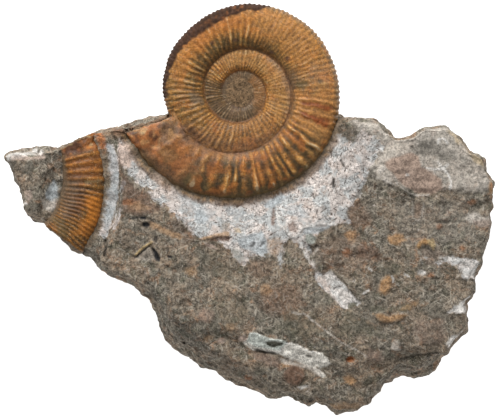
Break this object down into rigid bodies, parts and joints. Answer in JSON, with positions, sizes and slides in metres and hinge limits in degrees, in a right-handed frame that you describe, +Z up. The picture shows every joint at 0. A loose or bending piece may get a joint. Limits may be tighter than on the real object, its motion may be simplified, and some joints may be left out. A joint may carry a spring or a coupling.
{
  "type": "ammonite fossil in limestone",
  "caption": "Natural ammonite shell standing half free of a rough limestone block, with a ribbed length of a second shell across one end; lies flat on its back for display.",
  "frame": {"origin": "under the middle of the whole piece, on the surface that it rests on", "axes": "+Z up, out of the worked face that shows the shells; +X to the right of that face, along its longest extent; +Y towards the free half of the ammonite"},
  "size_m": [0.1566, 0.1315, 0.0377],
  "materials": {
    "limestone": "rough grey-brown limestone, paler where it was worked",
    "shell": "orange-brown fossil shell, satin",
    "second_shell": "orange-brown fossil shell, satin"
  },
  "bodies": {
    "root": {"limestone_block": "limestone", "ammonite": "shell", "second_whorl": "second_shell"}
  },
  "joints": []
}
